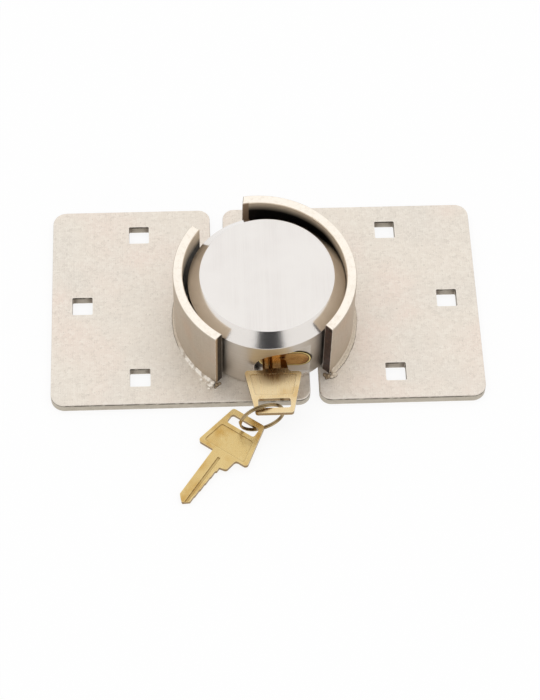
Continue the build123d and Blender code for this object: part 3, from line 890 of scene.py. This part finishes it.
@dataclass
class HaspHalf:
    """One half of the hasp: its plate, its shroud wall, the weld between them and its staple.

    A blob of weld metal has a place and a radius in mm.
    """

    side: str
    shroud_x: float
    shroud_y: float
    radius: float
    back_angle: float
    front_angle: float
    end_colour: Colour
    lip_share: float
    # where the painted lit patch and the painted shade lie on the inner wall
    lit_brown_x: float
    clear_from: float
    leg_back: float
    leg_front: float
    fullness: float
    wander: float
    lumps_start: float
    blobs: tuple[Blob, ...]
    burnt_blobs: tuple[Blob, ...]
    seed: float
    toe_rise: float = 0.25 * MM
    sunk: float = 0.25 * MM
    ripple: float = 1.7 * MM
    ripple_depth: float = 0.1
    ripple_lag: float = 0.25
    growth: float = 2.0
    end_round: float = 1.2 * MM
    end_left: float = 0.05
    wander_scale: float = 330.0
    skin_scale: float = 900.0
    skin_lumps: float = 0.1
    skin_around: float = 4.0
    skin_seed: float = 9.0
    section_points: int = 9
    steps_per_ripple: int = 7
    lumpiness: float = 0.28
    lump_scale: float = 2.2
    lump_step: float = 3.1
    fine_lumps: float = 0.1
    fine_scale: float = 6.0
    fine_step: float = 1.7
    fine_seed: float = 5.0
    flatness: float = 0.8

    @property
    def length(self) -> float:
        """The length of the weld along the wall's foot."""
        return self.radius * abs(self.front_angle - self.back_angle)

    def leg_at(self, share: float) -> float:
        """Give the size of the weld's leg.

        Args:
            share: How far along the weld, from 0 at the back to 1 at the front.

        Returns:
            The leg.
        """
        swell = share**self.growth
        leg = self.leg_back + (self.leg_front - self.leg_back) * swell
        along = share * self.length
        phase = (along / self.ripple) % 1.0
        scallop = math.sqrt(max(0.0, 1 - (2 * phase - 1) ** 2))
        drift = noise.noise(Vector((along * self.wander_scale, self.seed, 0.0)))
        from_end = min(along, self.length - along)
        rounded = min(1.0, (from_end / self.end_round) ** 0.5 + self.end_left)
        uneven = self.ripple_depth * (scallop - 1) * swell + self.wander * drift * swell**0.5
        return leg * (1 + uneven) * rounded

    def section(self, share: float, centre: Vector) -> list[Vector]:
        """Give the corners of the weld's section.

        Args:
            share: How far along the weld, from 0 at the back to 1 at the front.
            centre: The middle of the shroud's circle, on the plate.

        Returns:
            The corners, from the foot on the plate up over the weld and back inside the metal.
        """
        angle = self.back_angle + (self.front_angle - self.back_angle) * share
        way = Vector((math.cos(angle), math.sin(angle), 0.0))
        corners = []
        for point in range(self.section_points):
            part = point / (self.section_points - 1)
            lag = self.ripple_lag * self.ripple / self.length * math.sin(math.pi * part)
            leg = self.leg_at(min(1.0, max(0.0, share - lag)))
            turn = part * math.pi / 2
            bulge = self.fullness + (1 - self.fullness) * abs(math.cos(2 * turn))
            along = share * self.length * self.skin_scale
            skin = Vector((along, part * self.skin_around, self.seed + self.skin_seed))
            lump = 1 + self.skin_lumps * noise.noise(skin)
            out = leg * math.cos(turn) * bulge * lump
            up = Vector((0, 0, leg * math.sin(turn) * bulge * lump))
            corners.append(centre + way * (self.radius + out) + up)
        inner = centre + way * (self.radius - self.sunk)
        down = Vector((0, 0, self.sunk))
        return [*corners, inner + up, inner - down, corners[0] - down]

    def bead(self, centre: Vector) -> bpy.types.Object:
        """Build the weld: ripples that thicken towards the front, in place of the model's plain one.

        Args:
            centre: The middle of the shroud's circle, on the plate.

        Returns:
            The weld.
        """
        steps = int(self.length / self.ripple * self.steps_per_ripple)
        mesh = bmesh.new()
        rows = []
        for step in range(steps + 1):
            corners = self.section(step / steps, centre)
            rows.append([mesh.verts.new(corner) for corner in corners])
        for first, second in zip(rows, rows[1:]):
            for number in range(len(first)):
                after = (number + 1) % len(first)
                mesh.faces.new((first[number], first[after], second[after], second[number]))
        mesh.faces.new(rows[0])
        mesh.faces.new(list(reversed(rows[-1])))
        bmesh.ops.recalc_face_normals(mesh, faces=mesh.faces)
        node = f"{self.side}_shroud_weld"
        piece = as_object(mesh, f"{node}_bead")
        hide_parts(node)
        return piece

    def spatter(self, name: str, blobs: tuple[Blob, ...], seed: float) -> bpy.types.Object:
        """Build blobs of weld metal that froze at the end of the weld.

        Args:
            name: The piece's name.
            blobs: The blobs.
            seed: Where their lumps are read.

        Returns:
            The blobs as one piece.
        """
        mesh = bmesh.new()
        for number, (x, y, z, radius) in enumerate(blobs):
            middle = Vector((x, y, z)) * MM
            made = bmesh.ops.create_icosphere(mesh, subdivisions=3, radius=radius * MM)
            for vertex in made["verts"]:
                way = vertex.co.normalized()
                lump = noise.noise(way * self.lump_scale + Vector((seed, number * self.lump_step, 0.0)))
                start = Vector((seed, number * self.fine_step, self.fine_seed))
                fine = noise.noise(way * self.fine_scale + start)
                vertex.co = vertex.co * (1 + self.lumpiness * lump + self.fine_lumps * fine)
                vertex.co.z *= self.flatness
                vertex.co += middle
        return as_object(mesh, name)

    def build(self, effects: Effects) -> None:
        """Build the weld, and dress it and the nodes of the model.

        Args:
            effects: The shared effects.
        """
        side = self.side
        plate_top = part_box(f"{side}_plate")[1].z
        centre = Vector((self.shroud_x, self.shroud_y, plate_top))
        strip = ShroudSteel(
            name=f"{side} shroud steel",
            half=self,
            centre=tuple(centre),
            top=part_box(f"{side}_shroud")[1].z,
        )
        toe = plate_top + self.toe_rise
        weld = WeldMetal(name=f"{side} weld", toe_height=toe, lumps_start=self.lumps_start)
        burnt = WeldMetal(
            name="burnt weld", toe_height=toe, bright=rgb(168, 148, 122), dim=rgb(116, 98, 76)
        )
        dress(ZincPlate(name=f"{side} zinc plate", top=plate_top), effects, f"{side}_plate")
        dress(strip, effects, f"{side}_shroud", f"{side}_staple")
        dress(weld, effects, f"{side}_shroud_weld", f"{side}_staple_weld")
        pieces = (
            (self.bead(centre), weld),
            (self.spatter(f"{side}_weld_spatter", self.blobs, self.seed), weld),
            (self.spatter(f"{side}_weld_slag", self.burnt_blobs, self.seed + 1), burnt),
        )
        for piece, finish in pieces:
            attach(piece, f"{side}_half")
            piece.data.materials.append(finish.material(effects))
            LOG.info("built %s", piece.name)


LEFT_HALF = HaspHalf(
    side="left",
    shroud_x=1.2 * MM,
    shroud_y=-8.2 * MM,
    radius=44.46 * MM,
    back_angle=math.radians(143.0),
    front_angle=math.radians(233.6),
    end_colour=rgb(70, 60, 48),
    lip_share=1.0,
    lit_brown_x=-100.0 * MM,
    clear_from=13.0 * MM,
    leg_back=1.1 * MM,
    leg_front=1.5 * MM,
    fullness=0.74,
    wander=0.24,
    lumps_start=-23.0 * MM,
    blobs=(
        (-27.2, -45.4, 5.3, 1.6),
        (-26.3, -44.5, 6.0, 1.3),
        (-28.5, -44.6, 5.1, 1.1),
        (-27.8, -47.1, 5.0, 0.8),
        (-31.2, -42.2, 5.0, 0.8),
    ),
    burnt_blobs=((-24.2, -45.3, 5.0, 1.0), (-22.8, -44.6, 4.9, 0.8), (-24.9, -46.6, 4.9, 0.6)),
    seed=1.2,
)
RIGHT_HALF = HaspHalf(
    side="right",
    shroud_x=-3.5 * MM,
    shroud_y=-9.4 * MM,
    radius=44.706 * MM,
    back_angle=math.radians(96.5),
    front_angle=math.radians(-43.6),
    end_colour=rgb(90, 62, 50),
    lip_share=0.0,
    lit_brown_x=-7.0 * MM,
    clear_from=-6.0 * MM,
    leg_back=1.7 * MM,
    leg_front=2.2 * MM,
    fullness=0.66,
    wander=0.12,
    lumps_start=-1000.0 * MM,
    blobs=((30.6, -41.4, 5.0, 1.5), (29.4, -42.4, 4.9, 1.1)),
    burnt_blobs=((27.6, -42.2, 5.0, 1.3), (26.4, -41.4, 5.0, 1.1), (26.9, -43.0, 4.9, 0.8)),
    seed=-3.5,
)


@dataclass
class Padlock:
    """The round lock: its steel body, and the cylinder, bolt and pins inside."""

    body_centre: Point = (0.0, -0.0092, 0.0)
    # where the painted shadow in the hollow beside the plug is centred
    hollow_in: float = 0.2 * MM
    hollow_down: float = 4.4 * MM
    pins: int = 5

    def build(self, effects: Effects) -> None:
        """Dress the lock's nodes.

        Args:
            effects: The shared effects.
        """
        low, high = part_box("cylinder_housing")
        middle, radius = (low + high) / 2, (high.z - low.z) / 2
        oval = {"Middle": tuple(middle), "Half": (high.x - low.x) / 2 - radius, "Radius": radius}
        brass = OvalBrass(
            name="cylinder brass",
            clean=rgb(186, 143, 84),
            tarnish=rgb(138, 94, 46),
            pale=rgb(226, 188, 120),
            stretch=(260.0, 260.0, 900.0),
            oval=oval,
        )
        steel = TurnedSteel(
            name="turned steel",
            centre=self.body_centre,
            oval=oval,
            hollow=(low.x + self.hollow_in, low.y, (low.z + high.z) / 2 - self.hollow_down),
        )
        dress(steel, effects, "lock_body")
        dress(brass, effects, "cylinder_housing", "cylinder_plug", "chamber_cover")
        hard = ("cylinder_screw", "plug_clip", "drive_screw", "lock_bolt", "bolt_peg")
        dress(HardSteel(), effects, *hard)
        for number in range(1, self.pins + 1):
            dress(brass, effects, f"key_pin_{number}")
            dress(HardSteel(), effects, f"driver_pin_{number}", f"pin_spring_{number}")
        LOG.info("dressed the lock")


@dataclass
class Keys:
    """The key in the lock, the split ring on it and the spare key."""

    neck: float = 6.4 * MM

    def build(self, effects: Effects) -> None:
        """Dress the keys and the ring.

        Args:
            effects: The shared effects.
        """
        low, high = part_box("cylinder_plug")
        lock_key = NeckBrass(
            name="pale key brass",
            clean=rgb(237, 213, 168),
            tarnish=rgb(222, 190, 136),
            pale=rgb(255, 240, 200),
            stretch=(900.0, 90.0, 900.0),
            side_shade_share=0.8,
            shoulder=((low.x + high.x) / 2, low.y - self.neck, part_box("lock_key")[1].z),
            highlight_bands=((-2.15 * MM, 0.85 * MM), (2.45 * MM, 1.85 * MM)),
        )
        spare_key = Brass(
            name="gold key brass",
            clean=rgb(222, 194, 134),
            tarnish=rgb(203, 163, 92),
            pale=rgb(250, 230, 172),
            stretch=(700.0, 400.0, 700.0),
            side_shade_share=0.8,
        )
        ring = Brass(
            name="ring wire",
            clean=rgb(168, 146, 108),
            tarnish=rgb(118, 98, 68),
            pale=rgb(224, 208, 172),
            stretch=(400.0, 400.0, 400.0),
            rough=(0.14, 0.26),
        )
        dress(lock_key, effects, "lock_key")
        dress(spare_key, effects, "spare_key")
        dress(ring, effects, "split_ring")
        LOG.info("dressed the keys")


@dataclass
class Studio:
    """The pale floor, the soft lamp, the dark card in front and the camera."""

    floor_half: float = 3.0
    floor_drop: float = 0.3 * MM
    floor_glow: float = 0.86
    paper: Colour = (0.95, 0.95, 0.95)
    lamp_side: float = 2.4
    lamp_height: float = 1.9
    lamp_watts: float = 25.0
    sky_level: float = 0.55
    card_colour: Colour = (0.02, 0.02, 0.024)
    card_rough: float = 0.9
    card_y: float = -0.9
    card_sides: Pair = (-0.215, 0.285)
    card_heights: Pair = (0.2, 0.8)
    camera_place: Point = (-0.03392, -0.55640, 0.86231)
    camera_angles: tuple[float, float, float] = (-3.78, 57.86, 1.787)
    focal_pixels: float = 2151.9
    frame_height: float = 700.0
    axis_row: float = 335.4
    sensor: float = 36.0
    clip: Pair = (0.05, 20.0)

    def build(self) -> None:
        """Build the whole studio."""
        self.floor()
        self.card()
        self.lamp()
        self.world()
        self.camera()
        bpy.context.scene.view_settings.view_transform = "Standard"
        LOG.info("built the studio")

    @staticmethod
    def seen_directly(bench: NodeBench) -> Socket:
        """Give 1 for rays from the camera, a gloss or a see-through surface.

        Args:
            bench: The bench of a material or a world.

        Returns:
            The socket with the mask.
        """
        path = bench.add("ShaderNodeLightPath").outputs
        glossy = bench.math("ADD", path["Is Camera Ray"], path["Is Glossy Ray"], clamp=True)
        return bench.math("ADD", glossy, path["Is Transmission Ray"], clamp=True)

    @staticmethod
    def sheet(name: str, corners: list[Point], material: bpy.types.Material) -> bpy.types.Object:
        """Build a flat sheet that belongs to the studio.

        Args:
            name: Its name.
            corners: Its corners in order.
            material: Its material.

        Returns:
            The sheet.
        """
        mesh = bmesh.new()
        mesh.faces.new([mesh.verts.new(corner) for corner in corners])
        sheet = as_object(mesh, name)
        sheet.data.materials.append(material)
        return sheet

    def floor(self) -> None:
        """Lay the floor: it looks white and keeps a soft shadow."""
        material = bpy.data.materials.new("studio floor")
        bench = NodeBench(cleared(material))
        paper = bench.add("ShaderNodeBsdfDiffuse", self.paper).outputs[0]
        glow = bench.add("ShaderNodeEmission").outputs[0]
        seen = bench.times(self.seen_directly(bench), self.floor_glow)
        mix = bench.add("ShaderNodeMixShader", seen, paper, glow)
        bench.add("ShaderNodeOutputMaterial", mix.outputs[0])
        half = self.floor_half
        ends = ((-half, -half), (half, -half), (half, half), (-half, half))
        self.sheet("floor", [(x, y, -self.floor_drop) for x, y in ends], material)

    def card(self) -> None:
        """Stand a dark card in front, which only reflections show."""
        material = bpy.data.materials.new("dark card")
        material.use_nodes = True
        shader = material.node_tree.nodes["Principled BSDF"]
        shader.inputs["Base Color"].default_value = (*self.card_colour, 1.0)
        shader.inputs["Roughness"].default_value = self.card_rough
        (left, right), (low, high) = self.card_sides, self.card_heights
        ends = ((left, low), (right, low), (right, high), (left, high))
        card = self.sheet("dark_card", [(x, self.card_y, z) for x, z in ends], material)
        card.visible_camera = False
        card.visible_diffuse = False
        card.visible_transmission = False
        card.visible_shadow = False

    def lamp(self) -> None:
        """Hang one large soft lamp over the table, which metal doesn't reflect."""
        lamp = bpy.data.lights.new("soft box", "AREA")
        lamp.shape = "SQUARE"
        lamp.size = self.lamp_side
        lamp.energy = self.lamp_watts
        holder = bpy.data.objects.new("soft_box", lamp)
        holder.location = (0.0, 0.0, self.lamp_height)
        holder.visible_glossy = False
        bpy.context.scene.collection.objects.link(holder)

    def world(self) -> None:
        """Light the room evenly, and show it white."""
        world = bpy.data.worlds.new("studio room")
        bench = NodeBench(cleared(world))
        level = bench.span(self.seen_directly(bench), 0.0, 1.0, self.sky_level)
        white = bench.add("ShaderNodeBackground", (1.0, 1.0, 1.0), level)
        bench.add("ShaderNodeOutputWorld", white.outputs[0])
        bpy.context.scene.world = world

    def camera(self) -> None:
        """Set the camera where the photographer's was: by its azimuth, elevation and roll."""
        azimuth, elevation, roll = (math.radians(angle) for angle in self.camera_angles)
        flat, rise = math.cos(elevation), math.sin(elevation)
        back = Vector((math.sin(azimuth) * flat, -math.cos(azimuth) * flat, rise))
        level = Vector((math.cos(azimuth), math.sin(azimuth), 0.0))
        upright = back.cross(level)
        across = level * math.cos(roll) + upright * math.sin(roll)
        up = upright * math.cos(roll) - level * math.sin(roll)
        data = bpy.data.cameras.new("studio camera")
        data.sensor_width = self.sensor
        data.lens = self.focal_pixels / self.frame_height * data.sensor_width
        data.shift_y = (self.axis_row - self.frame_height / 2) / self.frame_height
        data.clip_start, data.clip_end = self.clip
        camera = bpy.data.objects.new("studio_camera", data)
        turned = Matrix((across, up, back)).transposed().to_4x4()
        camera.matrix_world = Matrix.Translation(self.camera_place) @ turned
        bpy.context.scene.collection.objects.link(camera)
        bpy.context.scene.camera = camera


def main() -> None:
    """Build every part of the scene in order."""
    logging.basicConfig(level=logging.INFO, format="%(message)s")
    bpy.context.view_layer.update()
    effects = Effects()
    for part in (LEFT_HALF, RIGHT_HALF, Padlock(), Keys()):
        part.build(effects)
    Studio().build()


if __name__ == "__main__":
    main()
